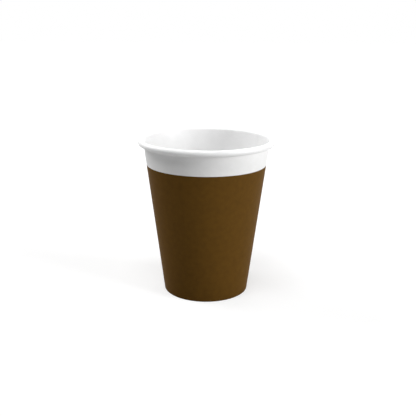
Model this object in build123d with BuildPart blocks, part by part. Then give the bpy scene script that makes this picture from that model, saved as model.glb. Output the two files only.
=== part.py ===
from build123d import *
import os
from math import asin, atan2, ceil, cos, degrees, hypot, radians, sin, tan

# Single-wall paper cup, all of board: a sidewall wrapped into a cone, its upper edge rolled outward and
# its lower edge turned in, and a pressed base disc whose skirt the turned-in edge grips.
# Millimetres and degrees. +Z is up; the origin is on the cup's axis, on the floor that it stands on.

# Outside of the cup
rim_diameter = 80.0
cup_height = 92.5
base_diameter = 50.4
roll_diameter = 3.5

# Board
wall_board = 0.30
base_board = 0.26
seal_film = 0.02

# Rolled rim: past the roll's lowest point, the edge is tucked up between the roll and the wall.
# The roll is drawn in short flats of even turn, with their corners on its true round.
curl_tuck = 45.0
curl_clearance = 0.06
curl_flat = 40.0

# Foot: the lower edge folds inward and up into a hem, and the base's skirt stands in the fold
hem_height = 6.0
fold_bevel = 0.15
skirt_lift = 0.20

# Base disc: its underside lies above the hem, and its edge bends down into the skirt
base_clearance = 1.0
skirt_bevel = 0.40

# Side seam: the ends of the blank lap, pressed together, and the outer end climbs over the inner one
seam_azimuth = 6.0
lap_angle = 10.0
climb_angle = 3.0
lap_lift = 0.24

# Printed field, from its straight upper edge down to the fold
print_top = 77.6
ink_film = 0.05

# Slant of the wall: its outer face runs from the foot up to touch the inner turn of the roll
base_radius = base_diameter / 2
roll_radius = roll_diameter / 2
roll_x = rim_diameter / 2 - roll_radius
roll_z = cup_height - roll_radius
roll_reach = hypot(roll_x - base_radius, roll_z)
slant = atan2(roll_x - base_radius, roll_z) - asin((roll_radius - wall_board) / roll_reach)

# Depths inside the wall's outer face: of the skirt's two faces, and of the hem's near face
skirt_outer = wall_board + seal_film
skirt_inner = skirt_outer + base_board
hem_near = skirt_inner + seal_film

# Heights of the base's two faces, and of the skirt's lower edge, clear of the fold under the lap
base_under = hem_height + base_clearance
base_top = base_under + base_board
skirt_foot = wall_board + lap_lift + skirt_lift

# Turns round the roll at the corners of its flats, from the wall to the tucked edge
turn_to_lowest = 270 - degrees(slant)
flats = ceil((turn_to_lowest + curl_tuck) / curl_flat)
curl_turns = [(turn_to_lowest + curl_tuck) * corner / flats for corner in range(flats + 1)]


def slant_point(height, depth):
    """Point, at a height, of the slanted line that lies this deep inside the wall's outer face."""
    return (base_radius + height * tan(slant) - depth / cos(slant), height)


def curl_point(turn, depth, board):
    """Point of that line once it has turned this far round the roll. Past the roll's lowest point it
    draws in, by one board and its clearance in a quarter turn."""
    angle = radians(180 - turn) - slant
    drawn_in = max(0, turn - turn_to_lowest) / 90 * (board + curl_clearance)
    radius = roll_radius - wall_board + depth - drawn_in
    return (roll_x + radius * cos(angle), roll_z + radius * sin(angle))


def board_section(azimuth, outer, inner):
    """Upright section of the sidewall, with its faces at two depths: the roll, the wall and the hem.
    The board grows towards its printed face, so the lap thickens the roll and the hem inside them."""
    board = inner - outer
    hem_far = hem_near + board
    with BuildSketch(Plane.XZ.rotated((0, 0, azimuth))) as section:
        with BuildLine():
            Polyline(*[curl_point(turn, inner, board) for turn in curl_turns],
                     *[curl_point(turn, outer, board) for turn in reversed(curl_turns)],
                     slant_point(0, outer), slant_point(0, hem_far),
                     slant_point(hem_height, hem_far), slant_point(hem_height, hem_near),
                     slant_point(board, hem_near), slant_point(board, inner), close=True)
        make_face()
        chamfer(section.vertices().group_by(Axis.Y)[0], fold_bevel)
    return section.sketch


def ink_section(azimuth, outer, inner):
    """Upright section of the ink on that board's printed face."""
    with BuildSketch(Plane.XZ.rotated((0, 0, azimuth))) as section:
        with BuildLine():
            Polyline(slant_point(fold_bevel, outer), slant_point(fold_bevel, outer - ink_film),
                     slant_point(print_top, outer - ink_film), slant_point(print_top, outer), close=True)
        make_face()
    return section.sketch


def wrap(section):
    """Carries an upright section round the cup: one board thick, then lapped, with the climb between."""
    revolve(section(seam_azimuth + lap_angle, 0, wall_board),
            revolution_arc=360 - lap_angle - climb_angle, clean=False)
    revolve(section(seam_azimuth, -lap_lift, wall_board), revolution_arc=lap_angle, clean=False)
    loft([section(seam_azimuth - climb_angle, 0, wall_board),
          section(seam_azimuth, -lap_lift, wall_board - lap_lift)], ruled=True, clean=False)


# Sidewall: one blank, with rolled rim, slanted wall and hem
with BuildPart() as sidewall:
    wrap(board_section)
sidewall.part.label = "sidewall"

# Base disc: flat, bent down at its edge into a skirt that follows the slant of the wall
with BuildPart() as base_disc:
    with BuildSketch(Plane.XZ) as profile:
        with BuildLine():
            Polyline((0, base_under), (0, base_top), slant_point(base_top, skirt_outer),
                     slant_point(skirt_foot, skirt_outer), slant_point(skirt_foot, skirt_inner),
                     slant_point(base_under, skirt_inner), close=True)
        make_face()
        chamfer(profile.vertices().group_by(Axis.Y)[-1].sort_by(Axis.X)[-1], skirt_bevel)
    revolve()
base_disc.part.label = "base_disc"

# Print: a brown film on the printed face, over the lap, that stops at the cut edge of the blank
with BuildPart() as brown_print:
    wrap(ink_section)
brown_print.part.label = "brown_print"

os.makedirs("parts", exist_ok=True)
for piece in (sidewall, base_disc, brown_print):
    export_step(piece.part, f"parts/{piece.part.label}.step")
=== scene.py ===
"""Paper cup: a lapped sidewall with rolled rim and hem, a pressed base, and a brown printed field."""

import logging
from dataclasses import dataclass, field
from enum import Enum
from math import asin, atan2, ceil, cos, degrees, hypot, pi, radians, sin, tan

import bpy
from mathutils import Matrix, Vector


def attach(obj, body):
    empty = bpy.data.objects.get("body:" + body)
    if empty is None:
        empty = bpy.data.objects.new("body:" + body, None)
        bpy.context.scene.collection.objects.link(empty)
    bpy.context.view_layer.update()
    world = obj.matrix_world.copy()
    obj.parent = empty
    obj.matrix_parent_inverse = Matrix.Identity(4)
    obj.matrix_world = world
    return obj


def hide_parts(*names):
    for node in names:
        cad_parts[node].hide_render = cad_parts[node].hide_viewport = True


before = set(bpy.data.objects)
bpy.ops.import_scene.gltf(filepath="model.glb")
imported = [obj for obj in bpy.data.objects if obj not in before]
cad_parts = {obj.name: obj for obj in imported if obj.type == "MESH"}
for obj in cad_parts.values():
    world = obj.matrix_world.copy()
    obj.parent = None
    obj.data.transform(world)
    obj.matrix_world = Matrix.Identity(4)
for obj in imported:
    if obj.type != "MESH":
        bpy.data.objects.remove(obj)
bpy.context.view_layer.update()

log = logging.getLogger("paper_cup")

MM = 0.001
SMOOTH_ANGLE = radians(35)


# Small helpers


def linear(hex_colour: str) -> tuple[float, float, float, float]:
    """Turns an sRGB hex colour into the linear colour that a shader socket takes.

    Args:
        hex_colour: Six hex digits, with or without a leading #.

    Returns:
        Red, green, blue and an alpha of 1, all linear.
    """
    digits = hex_colour.lstrip("#")
    shares = [int(digits[place : place + 2], 16) / 255 for place in (0, 2, 4)]
    red, green, blue = (s / 12.92 if s <= 0.04045 else ((s + 0.055) / 1.055) ** 2.4 for s in shares)
    return red, green, blue, 1.0


def add_node(
    tree: bpy.types.NodeTree, kind: str, settings: dict | None = None, inputs: dict | None = None
) -> bpy.types.Node:
    """Adds a node, with its settings and with its sockets filled or linked.

    Args:
        tree: The node tree that takes the node.
        kind: The node's type name.
        settings: Node properties and their values.
        inputs: Input sockets, by name or number, each with a value or the output socket to link.

    Returns:
        The new node.
    """
    node = tree.nodes.new(kind)
    for name, value in (settings or {}).items():
        setattr(node, name, value)
    for name, value in (inputs or {}).items():
        if isinstance(value, bpy.types.NodeSocket):
            tree.links.new(value, node.inputs[name])
        else:
            node.inputs[name].default_value = value
    return node


def start_piece(name: str) -> bpy.types.Object:
    """Adds a piece whose mesh is one vertex on the origin, and leaves it in edit mode.

    Args:
        name: The piece's name.

    Returns:
        The piece.
    """
    bpy.ops.object.select_all(action="DESELECT")
    bpy.ops.mesh.primitive_plane_add(size=MM, location=(0, 0, 0))
    piece = bpy.context.active_object
    piece.name = piece.data.name = name
    bpy.ops.object.mode_set(mode="EDIT")
    bpy.ops.mesh.select_mode(type="VERT")
    bpy.ops.mesh.select_all(action="SELECT")
    bpy.ops.mesh.merge(type="CENTER")
    return piece


def draw_line(points: list[Vector]) -> None:
    """Draws a line of edges from the one selected vertex on the origin, through the points.

    Args:
        points: The line's corners in metres. The vertex is moved to the first.
    """
    bpy.ops.transform.translate(value=points[0])
    for here, there in zip(points, points[1:]):
        bpy.ops.mesh.extrude_vertices_move(TRANSFORM_OT_translate={"value": there - here})


def select_vertices(piece: bpy.types.Object, chosen: set[int]) -> None:
    """Selects these vertices of a piece that is in edit mode, and nothing else.

    Args:
        piece: The piece in edit mode.
        chosen: The numbers of the vertices.
    """
    bpy.ops.mesh.select_all(action="DESELECT")
    bpy.ops.object.mode_set(mode="OBJECT")
    for vertex in piece.data.vertices:
        vertex.select = vertex.index in chosen
    bpy.ops.object.mode_set(mode="EDIT")


def finish_piece(piece: bpy.types.Object, slot: str, *nodes: str) -> None:
    """Hands a finished piece to the frame: hangs it from its body and hides the nodes it stands for.

    Args:
        piece: The finished piece, at the origin.
        slot: The record's material slot. Not used.
        nodes: The CAD nodes that it replaces.
    """
    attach(piece, "root")
    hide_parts(*nodes)
    log.info("%s: %d faces, for %s", piece.name, len(piece.data.polygons), ", ".join(nodes))


# Sizes of the cup


@dataclass(frozen=True)
class CupForm:
    """The cup's own sizes, in millimetres and degrees, as its board runs."""

    rim_radius: float = 40.0
    height: float = 92.5
    foot_radius: float = 25.2
    roll_radius: float = 1.75
    wall_board: float = 0.30
    base_board: float = 0.26
    seal_film: float = 0.02
    hem_height: float = 6.0
    base_under: float = 7.0
    skirt_foot: float = 0.74
    print_top: float = 77.6
    seam_azimuth: float = 6.0
    lap_angle: float = 10.0
    climb_angle: float = 3.0

    @property
    def roll_centre(self) -> tuple[float, float]:
        """Radius and height of the roll's centre."""
        return self.rim_radius - self.roll_radius, self.height - self.roll_radius

    @property
    def slant(self) -> float:
        """Lean of the wall in radians: its face runs from the foot to touch the roll's inner turn."""
        across, up = self.roll_centre[0] - self.foot_radius, self.roll_centre[1]
        return atan2(across, up) - asin((self.roll_radius - self.wall_board) / hypot(across, up))

    def face_point(self, height: float, depth: float = 0.0) -> tuple[float, float]:
        """Radius and height of a point in the wall.

        Args:
            height: Its height above the floor.
            depth: How deep it lies inside the wall's printed face.

        Returns:
            The point's radius and height.
        """
        radius = self.foot_radius + height * tan(self.slant) - depth / cos(self.slant)
        return radius, height

    def arc(
        self, centre: tuple[float, float], radius: float, start: float, end: float, steps: int
    ) -> list[tuple[float, float]]:
        """Points of an arc in the upright section.

        Args:
            centre: Radius and height of the arc's centre.
            radius: The arc's own radius.
            start: First angle in degrees, from straight out, upwards.
            end: Last angle in degrees.
            steps: Number of steps between them.

        Returns:
            Radius and height of each point.
        """
        angles = (radians(start + (end - start) * step / steps) for step in range(steps + 1))
        return [(centre[0] + radius * cos(a), centre[1] + radius * sin(a)) for a in angles]

    def at_azimuth(self, line: list[tuple[float, float]], azimuth: float) -> list[Vector]:
        """Stands a line of the upright section at an azimuth.

        Args:
            line: Radius and height of each point, in millimetres.
            azimuth: Degrees round the cup's axis, from +X towards +Y.

        Returns:
            The points in metres.
        """
        turn = Matrix.Rotation(radians(azimuth), 3, "Z")
        return [turn @ Vector((radius * MM, 0, height * MM)) for radius, height in line]


# Finishes
#
# Wood fibres in cup board are about 0.03 mm wide, too fine to show. Each pattern is drawn about
# ten to twenty times as coarse, so that it shows in a picture.


class BoardFace(Enum):
    """Faces of a board piece, in the order of its material slots."""

    PRINTED = 0
    COATED = 1
    CUT = 2


@dataclass(frozen=True)
class BoardFinish:
    """Cup board: bleached sulphate pulp pressed into a sheet between hot rolls."""

    name: str
    colour: str
    fibre_colour: str
    roughness: float
    fibre_mm: float
    cloud_mm: float
    bump_mm: float
    coat: float = 0.0
    coat_roughness: float = 0.3
    specular: float = 0.5

    def material(self) -> bpy.types.Material:
        """Makes the finish: cloudy pulp, fibres in its colour and height, and a coat if it has one.

        Returns:
            The material.
        """
        material = bpy.data.materials.new(self.name)
        material.use_nodes = True
        tree = material.node_tree
        shader = tree.nodes["Principled BSDF"]
        place = add_node(tree, "ShaderNodeTexCoord").outputs["Object"]
        clouds = add_node(
            tree,
            "ShaderNodeTexNoise",
            inputs={
                "Vector": place,
                "Scale": 1 / (self.cloud_mm * MM),
                "Detail": 4.0,
                "Roughness": 0.55,
            },
        )
        fibres = add_node(
            tree,
            "ShaderNodeTexNoise",
            inputs={
                "Vector": place,
                "Scale": 1 / (self.fibre_mm * MM),
                "Detail": 3.0,
                "Roughness": 0.7,
                "Distortion": 1.6,
            },
        )
        both = add_node(
            tree,
            "ShaderNodeMath",
            {"operation": "MULTIPLY"},
            {0: clouds.outputs["Fac"], 1: fibres.outputs["Fac"]},
        )
        share = add_node(
            tree,
            "ShaderNodeMapRange",
            inputs={"Value": both.outputs[0], "From Min": 0.12, "From Max": 0.42},
        )
        paint = add_node(
            tree,
            "ShaderNodeMix",
            {"data_type": "RGBA"},
            {
                "Factor": share.outputs["Result"],
                "A": linear(self.fibre_colour),
                "B": linear(self.colour),
            },
        )
        rough = add_node(
            tree,
            "ShaderNodeMapRange",
            inputs={
                "Value": fibres.outputs["Fac"],
                "From Min": 0.3,
                "From Max": 0.7,
                "To Min": self.roughness - 0.05,
                "To Max": self.roughness + 0.05,
            },
        )
        bump = add_node(
            tree,
            "ShaderNodeBump",
            inputs={"Height": both.outputs[0], "Strength": 1.0, "Distance": self.bump_mm * MM},
        )
        tree.links.new(paint.outputs["Result"], shader.inputs["Base Color"])
        tree.links.new(rough.outputs["Result"], shader.inputs["Roughness"])
        tree.links.new(bump.outputs["Normal"], shader.inputs["Normal"])
        shader.inputs["IOR"].default_value = 1.5
        shader.inputs["Specular IOR Level"].default_value = self.specular
        shader.inputs["Coat Weight"].default_value = self.coat
        shader.inputs["Coat Roughness"].default_value = self.coat_roughness
        return material


# Uncoated bleached board: matt, evenly white, with a faint cloud in the pulp
PLAIN_BOARD = BoardFinish(
    name="bleached_board_calendered",
    colour="#F4F4F4",
    fibre_colour="#EEEEED",
    roughness=0.62,
    fibre_mm=0.45,
    cloud_mm=4.0,
    bump_mm=0.02,
    specular=0.35,
)

# The same board with polyethylene extruded on it, which makes the drink side a little whiter
# and smoother
COATED_BOARD = BoardFinish(
    name="polyethylene_coated_board",
    colour="#F5F5F5",
    fibre_colour="#EFEFEF",
    roughness=0.5,
    fibre_mm=0.6,
    cloud_mm=5.0,
    bump_mm=0.015,
    coat=0.3,
    coat_roughness=0.25,
    specular=0.35,
)

# The board's die-cut edge: bare fibres, rough and a little creamier than its faces
CUT_EDGE = BoardFinish(
    name="die_cut_board_edge",
    colour="#EFEBE1",
    fibre_colour="#DDD6C8",
    roughness=0.85,
    fibre_mm=0.15,
    cloud_mm=1.5,
    bump_mm=0.04,
    specular=0.2,
)

# Thinner base board, coated on the drink side, seen plain and matt from below
BASE_BOARD = BoardFinish(
    name="bleached_base_board_pressed",
    colour="#F2F1EF",
    fibre_colour="#E9E8E4",
    roughness=0.66,
    fibre_mm=0.5,
    cloud_mm=5.0,
    bump_mm=0.02,
    specular=0.3,
)

# Brown water-based ink laid on by a flexo plate: solid and nearly matt, with a faint cloud where
# the pulp drinks it
BROWN_INK = BoardFinish(
    name="flexo_printed_brown_ink",
    colour="#644619",
    fibre_colour="#5A3F17",
    roughness=0.6,
    fibre_mm=0.5,
    cloud_mm=3.0,
    bump_mm=0.015,
    specular=0.03,
)


# The sidewall and its print


@dataclass
class Sidewall:
    """The wrapped sidewall, as one lapped sheet of board, and the brown field printed on it."""

    form: CupForm = field(default_factory=CupForm)
    curl_tuck: float = 45.0
    curl_clearance: float = 0.06
    curl_step: float = 9.0
    band_rows: int = 3
    print_rows: int = 8
    fold_steps: int = 12
    row_margin: float = 0.05
    lap_rise: float = 0.31
    column_angle: float = 1.0
    rib_columns: int = 4
    rib_height: float = 0.10
    rib_low: float = 1.1
    rib_high: float = 5.3
    rib_slope: float = 0.3
    ink_film: float = 0.05
    ink_end: float = 0.12

    @property
    def turn_to_lowest(self) -> float:
        """Degrees that the board turns round the roll before it reaches the roll's lowest point."""
        return 270 - degrees(self.form.slant)

    @property
    def fold_radius(self) -> float:
        """Radius of the printed face round the fold: half of two boards, the skirt and seals."""
        return self.form.wall_board + self.form.seal_film + self.form.base_board / 2

    def roll_line(self) -> list[tuple[float, float]]:
        """The printed face in the roll, from the tucked edge up over the top and down to the wall.

        Returns:
            Radius and height of each point.
        """
        form = self.form
        centre_radius, centre_height = form.roll_centre
        whole = self.turn_to_lowest + self.curl_tuck
        steps = ceil(whole / self.curl_step)
        line = []
        for corner in range(steps, -1, -1):
            turn = whole * corner / steps
            angle = radians(180 - turn) - form.slant
            past_lowest = max(0.0, turn - self.turn_to_lowest)
            drawn_in = past_lowest / 90 * (form.wall_board + self.curl_clearance)
            radius = form.roll_radius - form.wall_board - drawn_in
            line.append((centre_radius + radius * cos(angle), centre_height + radius * sin(angle)))
        return line

    def wall_line(self) -> list[tuple[float, float]]:
        """The printed face down the straight wall, with a row at the print's upper edge.

        Returns:
            Radius and height of each point.
        """
        form = self.form
        edge = form.print_top
        band = self.roll_line()[-1][1] - edge
        field_height = edge - self.fold_radius - self.row_margin
        rows = [edge + band * (1 - row / self.band_rows) for row in range(1, self.band_rows + 1)]
        rows += [
            edge - field_height * row / self.print_rows for row in range(1, self.print_rows + 1)
        ]
        return [form.face_point(height) for height in rows]

    def fold_line(self) -> list[tuple[float, float]]:
        """The printed face round the fold, from the wall to the hem. It touches the floor.

        Returns:
            Radius and height of each point.
        """
        lean = degrees(self.form.slant)
        centre = self.form.face_point(self.fold_radius, self.fold_radius)
        return self.form.arc(centre, self.fold_radius, -lean, -180 - lean, self.fold_steps)

    def hem_line(self) -> list[tuple[float, float]]:
        """The printed face up the hem, which faces the cup's axis, with rows for the ribs."""
        low, high, top = self.rib_low, self.rib_high, self.form.hem_height
        rows = (low, low + self.rib_slope, high - self.rib_slope, high, top)
        return [self.form.face_point(height, 2 * self.fold_radius) for height in rows]

    def selected(self, piece: bpy.types.Object) -> set[int]:
        """Reads which vertices are selected.

        Args:
            piece: The piece in edit mode.

        Returns:
            The numbers of the selected vertices.
        """
        bpy.ops.object.mode_set(mode="OBJECT")
        chosen = {vertex.index for vertex in piece.data.vertices if vertex.select}
        bpy.ops.object.mode_set(mode="EDIT")
        return chosen

    def spin_on(self, piece: bpy.types.Object, column: set[int], angle: float) -> set[int]:
        """Spins a column of vertices on round the cup's axis.

        Args:
            piece: The sheet in edit mode.
            column: The column at the sheet's end.
            angle: Degrees to go on, from +X towards +Y.

        Returns:
            The column at the sheet's new end.
        """
        select_vertices(piece, column)
        steps = max(1, round(abs(angle) / self.column_angle))
        bpy.ops.mesh.spin(steps=steps, angle=radians(angle), center=(0, 0, 0), axis=(0, 0, 1))
        return self.selected(piece)

    def face_print_out(self, piece: bpy.types.Object) -> None:
        """Turns all the sheet's faces to the printed side, with a wall face as the guide.

        Args:
            piece: The sheet in edit mode.
        """
        bpy.ops.mesh.select_all(action="SELECT")
        bpy.ops.mesh.normals_make_consistent(inside=False)
        bpy.ops.object.mode_set(mode="OBJECT")
        middle = self.form.height / 2 * MM
        guide = min(piece.data.polygons, key=lambda face: abs(face.center.z - middle))
        inward = guide.normal.dot(Vector((guide.center.x, guide.center.y, 0))) < 0
        bpy.ops.object.mode_set(mode="EDIT")
        if inward:
            bpy.ops.mesh.flip_normals()

    def raise_end(
        self, piece: bpy.types.Object, column: set[int], outward: float, upward: float
    ) -> None:
        """Moves an end column out to the printed side, and lifts its fold along the wall.

        Args:
            piece: The sheet in edit mode.
            column: The end column.
            outward: Millimetres to push it out.
            upward: Millimetres to lift the fold.
        """
        if outward:
            self.face_print_out(piece)
            select_vertices(piece, column)
            bpy.ops.transform.shrink_fatten(value=outward * MM, use_even_offset=True)
        bpy.ops.object.mode_set(mode="OBJECT")
        places = {number: piece.data.vertices[number].co.copy() for number in column}
        bpy.ops.object.mode_set(mode="EDIT")
        fold_top = (self.fold_radius + self.row_margin + 0.01) * MM
        fold = {number for number, place in places.items() if place.z < fold_top}
        select_vertices(piece, fold)
        spot = places[next(iter(fold))]
        out = Vector((spot.x, spot.y, 0)).normalized() * tan(self.form.slant)
        bpy.ops.transform.translate(value=(out + Vector((0, 0, 1))) * upward * MM)

    def press_ribs(self, piece: bpy.types.Object) -> None:
        """Presses the crimping wheel's upright ribs into the hem, between its margins.

        Args:
            piece: The sheet in edit mode.
        """
        bpy.ops.object.mode_set(mode="OBJECT")
        low = (self.rib_low + self.rib_slope / 2) * MM
        high = (self.rib_high - self.rib_slope / 2) * MM
        chosen = set()
        for vertex in piece.data.vertices:
            place = vertex.co
            wall_radius = self.form.face_point(place.z / MM, self.fold_radius)[0] * MM
            azimuth = degrees(atan2(place.y, place.x)) % 360
            column = round(azimuth / self.column_angle) % self.rib_columns
            in_hem = low < place.z < high and hypot(place.x, place.y) < wall_radius
            if in_hem and column < self.rib_columns / 2:
                chosen.add(vertex.index)
        bpy.ops.object.mode_set(mode="EDIT")
        select_vertices(piece, chosen)
        hem_radius = self.form.face_point(self.form.hem_height / 2, 2 * self.fold_radius)[0]
        share = 1 - self.rib_height / hem_radius
        bpy.ops.transform.resize(value=(share, share, 1), center_override=(0, 0, 0))

    def build_sheet(self) -> tuple[bpy.types.Object, set[int]]:
        """Builds the board's printed face as one sheet, in edit mode.

        Returns:
            The sheet, and the vertices of its inner end, which the lap hides.
        """
        form = self.form
        piece = start_piece("cup_sidewall")
        start = form.seam_azimuth + form.lap_angle + 2 * self.column_angle
        line = self.roll_line() + self.wall_line() + self.fold_line() + self.hem_line()
        draw_line(form.at_azimuth(line, start))
        bpy.ops.mesh.select_all(action="SELECT")
        first = self.selected(piece)
        last = self.spin_on(piece, first, 360 + form.seam_azimuth - form.climb_angle - start)
        rises = round(form.climb_angle / self.column_angle)
        for _ in range(rises):
            last = self.spin_on(piece, last, self.column_angle)
            self.raise_end(piece, last, self.lap_rise / rises, self.lap_rise / rises)
        self.spin_on(piece, last, form.lap_angle)
        for _ in range(2):
            first = self.spin_on(piece, first, -self.column_angle)
            self.raise_end(piece, first, 0, self.lap_rise / 2)
        before = len(piece.data.vertices)
        self.spin_on(piece, first, -form.lap_angle)
        bpy.ops.object.mode_set(mode="OBJECT")
        hidden = set(range(before, len(piece.data.vertices)))
        bpy.ops.object.mode_set(mode="EDIT")
        self.press_ribs(piece)
        self.face_print_out(piece)
        return piece, hidden

    def lift_print(self, sheet: bpy.types.Object, hidden: set[int]) -> bpy.types.Object:
        """Copies the printed faces off the sheet, from the print's upper edge down to the fold.

        Args:
            sheet: The sheet in edit mode.
            hidden: Vertices of the end that the lap hides.

        Returns:
            The print as a sheet of its own, in object mode.
        """
        form = self.form
        bpy.ops.mesh.select_mode(type="FACE")
        bpy.ops.mesh.select_all(action="DESELECT")
        bpy.ops.object.mode_set(mode="OBJECT")
        top, low = (form.print_top + self.row_margin) * MM, self.ink_end * MM
        for face in sheet.data.polygons:
            places = [sheet.data.vertices[number].co for number in face.vertices]
            outside = all(
                hypot(place.x, place.y) > form.face_point(place.z / MM, self.fold_radius)[0] * MM
                for place in places
            )
            face.select = (
                outside
                and max(place.z for place in places) < top
                and min(place.z for place in places) > low
                and not hidden.intersection(face.vertices)
            )
        bpy.ops.object.mode_set(mode="EDIT")
        bpy.ops.mesh.duplicate()
        bpy.ops.mesh.separate(type="SELECTED")
        bpy.ops.object.mode_set(mode="OBJECT")
        film = next(obj for obj in bpy.context.selected_objects if obj != sheet)
        film.name = film.data.name = "cup_brown_print"
        return film

    def thicken(self, piece: bpy.types.Object, thickness: float, offset: float) -> None:
        """Gives a sheet its thickness, with a material of its own for each face and for the edges.

        Args:
            piece: The sheet in object mode.
            thickness: Millimetres.
            offset: -1 to grow away from the printed side, 1 to grow towards it.
        """
        bpy.ops.object.select_all(action="DESELECT")
        piece.select_set(True)
        bpy.context.view_layer.objects.active = piece
        solid = piece.modifiers.new("board", "SOLIDIFY")
        solid.thickness = thickness * MM
        solid.offset = offset
        solid.use_even_offset = True
        solid.use_quality_normals = True
        solid.material_offset = BoardFace.COATED.value
        solid.material_offset_rim = BoardFace.CUT.value
        bpy.ops.object.modifier_apply(modifier=solid.name)
        bpy.ops.object.shade_smooth_by_angle(angle=SMOOTH_ANGLE)

    def build(self) -> tuple[bpy.types.Object, bpy.types.Object]:
        """Builds and dresses the sidewall and its print.

        Returns:
            The two pieces.
        """
        sheet, hidden = self.build_sheet()
        film = self.lift_print(sheet, hidden)
        for finish in (PLAIN_BOARD, COATED_BOARD, CUT_EDGE):
            sheet.data.materials.append(finish.material())
        ink = BROWN_INK.material()
        for _ in BoardFace:
            film.data.materials.append(ink)
        self.thicken(sheet, self.form.wall_board, -1)
        self.thicken(film, self.ink_film, 1)
        finish_piece(sheet, "white_board", "sidewall")
        finish_piece(film, "brown_ink", "brown_print")
        return sheet, film


# The base


@dataclass
class BaseDisc:
    """The pressed base: a flat disc with its edge bent down into a skirt."""

    form: CupForm = field(default_factory=CupForm)
    bend_radius: float = 0.66
    bend_steps: int = 8
    skirt_row: float = 3.0
    column_angle: float = 2.0
    rings: int = 6

    def build(self) -> bpy.types.Object:
        """Builds and dresses the base.

        Returns:
            The piece.
        """
        form = self.form
        depth = form.wall_board + form.seal_film
        top = form.base_under + form.base_board
        bend_centre = form.face_point(top - self.bend_radius, depth + self.bend_radius)
        flat = [(bend_centre[0] * ring / self.rings, top) for ring in range(self.rings)]
        bend = form.arc(bend_centre, self.bend_radius, 90, -degrees(form.slant), self.bend_steps)
        skirt = [form.face_point(form.skirt_foot + rise, depth) for rise in (self.skirt_row, 0)]
        piece = start_piece("cup_base")
        draw_line(form.at_azimuth(flat + bend + skirt, 0))
        bpy.ops.mesh.select_all(action="SELECT")
        columns = round(360 / self.column_angle)
        bpy.ops.mesh.spin(steps=columns, angle=2 * pi, center=(0, 0, 0), axis=(0, 0, 1))
        bpy.ops.mesh.select_all(action="SELECT")
        bpy.ops.mesh.remove_doubles(threshold=0.01 * MM)
        bpy.ops.mesh.normals_make_consistent(inside=False)
        bpy.ops.object.mode_set(mode="OBJECT")
        flat_faces = [face for face in piece.data.polygons if face.center.z > form.base_under * MM]
        middle = min(flat_faces, key=lambda face: face.center.xy.length)
        if middle.normal.z < 0:
            bpy.ops.object.mode_set(mode="EDIT")
            bpy.ops.mesh.select_all(action="SELECT")
            bpy.ops.mesh.flip_normals()
            bpy.ops.object.mode_set(mode="OBJECT")
        for finish in (COATED_BOARD, BASE_BOARD, CUT_EDGE):
            piece.data.materials.append(finish.material())
        solid = piece.modifiers.new("board", "SOLIDIFY")
        solid.thickness = form.base_board * MM
        solid.offset = -1
        solid.use_even_offset = True
        solid.material_offset = BoardFace.COATED.value
        solid.material_offset_rim = BoardFace.CUT.value
        bpy.ops.object.modifier_apply(modifier=solid.name)
        bpy.ops.object.shade_smooth_by_angle(angle=SMOOTH_ANGLE)
        finish_piece(piece, "base_board", "base_disc")
        return piece


# The studio


@dataclass(frozen=True)
class Softbox:
    """One soft white area light, aimed at the middle of the cup."""

    name: str
    place: tuple[float, float, float]
    size: float
    power: float
    aim: tuple[float, float, float] = (0, 0, 0.05)

    def add(self) -> bpy.types.Object:
        """Adds the light, turned to its aim.

        Returns:
            The light.
        """
        data = bpy.data.lights.new(self.name, "AREA")
        data.shape = "SQUARE"
        data.size = self.size
        data.energy = self.power
        light = bpy.data.objects.new(self.name, data)
        light.location = self.place
        light.visible_camera = False
        way = Vector(self.aim) - Vector(self.place)
        light.rotation_euler = way.to_track_quat("-Z", "Y").to_euler()
        bpy.context.scene.collection.objects.link(light)
        return light


SOFTBOXES = (
    Softbox("key_low_right", (0.886, -0.395, 0.292), 0.55, 7.8),
    Softbox("back", (0.133, 0.754, 0.693), 0.55, 5.5),
    Softbox("back_left", (-0.692, 0.353, 0.679), 0.6, 6.0),
    Softbox("overhead_front", (-0.145, -0.31, 0.99), 0.5, 5.8),
)


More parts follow.
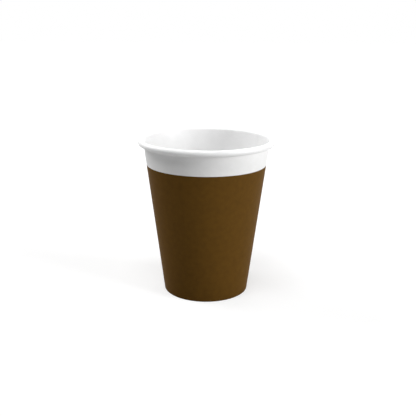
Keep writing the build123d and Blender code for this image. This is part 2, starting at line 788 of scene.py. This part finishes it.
@dataclass
class Studio:
    """Floor, light and camera of the photograph."""

    focal_pixels: float = 649.8
    picture_pixels: float = 416.0
    distance: float = 0.3748
    eye_height: float = 0.1598
    aside: float = 0.0011
    pitch: float = 16.33
    roll: float = 0.358
    world_light: float = 0.01
    floor_glow: float = 0.585
    floor_shade: float = 0.48
    glow_near: float = 0.25
    glow_far: float = 1.2
    floor_size: float = 8.0

    def seen_rays(self, tree: bpy.types.NodeTree) -> bpy.types.NodeSocket:
        """Adds what tells camera, glossy and transmission rays from the rest.

        Args:
            tree: The node tree that takes the nodes.

        Returns:
            A socket that is 1 for those rays and 0 for others.
        """
        path = add_node(tree, "ShaderNodeLightPath")
        mirrored = add_node(
            tree,
            "ShaderNodeMath",
            {"operation": "MAXIMUM"},
            {0: path.outputs["Is Glossy Ray"], 1: path.outputs["Is Transmission Ray"]},
        )
        seen = add_node(
            tree,
            "ShaderNodeMath",
            {"operation": "MAXIMUM"},
            {0: path.outputs["Is Camera Ray"], 1: mirrored.outputs[0]},
        )
        return seen.outputs[0]

    def add_floor(self) -> bpy.types.Object:
        """Adds the pale floor. The camera and mirrors see it nearly white, and it keeps the shadow.

        Returns:
            The floor.
        """
        bpy.ops.object.select_all(action="DESELECT")
        bpy.ops.mesh.primitive_plane_add(size=self.floor_size, location=(0, 0, 0))
        floor = bpy.context.active_object
        floor.name = floor.data.name = "floor"
        # Painted card: matt white, with a glow that only the camera and mirrors see
        material = bpy.data.materials.new("white_card_floor")
        material.use_nodes = True
        tree = material.node_tree
        tree.nodes.clear()
        shade = (self.floor_shade, self.floor_shade, self.floor_shade, 1)
        paint = add_node(tree, "ShaderNodeBsdfDiffuse", inputs={"Color": shade, "Roughness": 1.0})
        away = add_node(
            tree,
            "ShaderNodeVectorMath",
            {"operation": "LENGTH"},
            {0: add_node(tree, "ShaderNodeTexCoord").outputs["Object"]},
        )
        level = add_node(
            tree,
            "ShaderNodeMapRange",
            inputs={
                "Value": away.outputs["Value"],
                "From Min": self.glow_near,
                "From Max": self.glow_far,
                "To Min": self.floor_glow,
                "To Max": 1.0,
            },
        )
        glow = add_node(
            tree,
            "ShaderNodeEmission",
            inputs={"Color": (1, 1, 1, 1), "Strength": level.outputs["Result"]},
        )
        lit = add_node(
            tree,
            "ShaderNodeMixShader",
            inputs={"Fac": self.seen_rays(tree), 2: glow.outputs[0]},
        )
        whole = add_node(
            tree, "ShaderNodeAddShader", inputs={0: paint.outputs[0], 1: lit.outputs[0]}
        )
        add_node(tree, "ShaderNodeOutputMaterial", inputs={"Surface": whole.outputs[0]})
        floor.data.materials.append(material)
        return floor

    def add_world(self) -> None:
        """Makes the room: white where it is seen, and a dim even light on the cup."""
        world = bpy.data.worlds.new("pale_room")
        world.use_nodes = True
        bpy.context.scene.world = world
        tree = world.node_tree
        tree.nodes.clear()
        light, white = (
            add_node(tree, "ShaderNodeBackground", inputs={"Color": (1, 1, 1, 1), "Strength": strength})
            for strength in (self.world_light, 1.0)
        )
        both = add_node(
            tree,
            "ShaderNodeMixShader",
            inputs={"Fac": self.seen_rays(tree), 1: light.outputs[0], 2: white.outputs[0]},
        )
        add_node(tree, "ShaderNodeOutputWorld", inputs={"Surface": both.outputs[0]})

    def add_camera(self) -> bpy.types.Object:
        """Adds the camera where the photograph was taken from, and makes it the scene's.

        Returns:
            The camera.
        """
        data = bpy.data.cameras.new("photo_camera")
        data.sensor_fit = "HORIZONTAL"
        data.sensor_width = 36.0
        data.lens = self.focal_pixels / self.picture_pixels * data.sensor_width
        data.clip_start = 0.01
        camera = bpy.data.objects.new("photo_camera", data)
        place = Matrix.Translation((self.aside, -self.distance, self.eye_height))
        tilt = Matrix.Rotation(radians(90 - self.pitch), 4, "X")
        camera.matrix_world = place @ tilt @ Matrix.Rotation(radians(self.roll), 4, "Z")
        bpy.context.scene.collection.objects.link(camera)
        bpy.context.scene.camera = camera
        return camera

    def build(self) -> None:
        """Sets up the floor, the lights, the room and the camera."""
        self.add_camera()
        self.add_floor()
        for softbox in SOFTBOXES:
            softbox.add()
        self.add_world()
        bpy.context.scene.view_settings.view_transform = "Standard"
        log.info("studio: %d softboxes", len(SOFTBOXES))


def main() -> None:
    """Builds the studio, the sidewall with its print, and the base."""
    logging.basicConfig(level=logging.INFO, format="%(name)s: %(message)s")
    form = CupForm()
    Studio().build()
    Sidewall(form=form).build()
    BaseDisc(form=form).build()


if __name__ == "__main__":
    main()
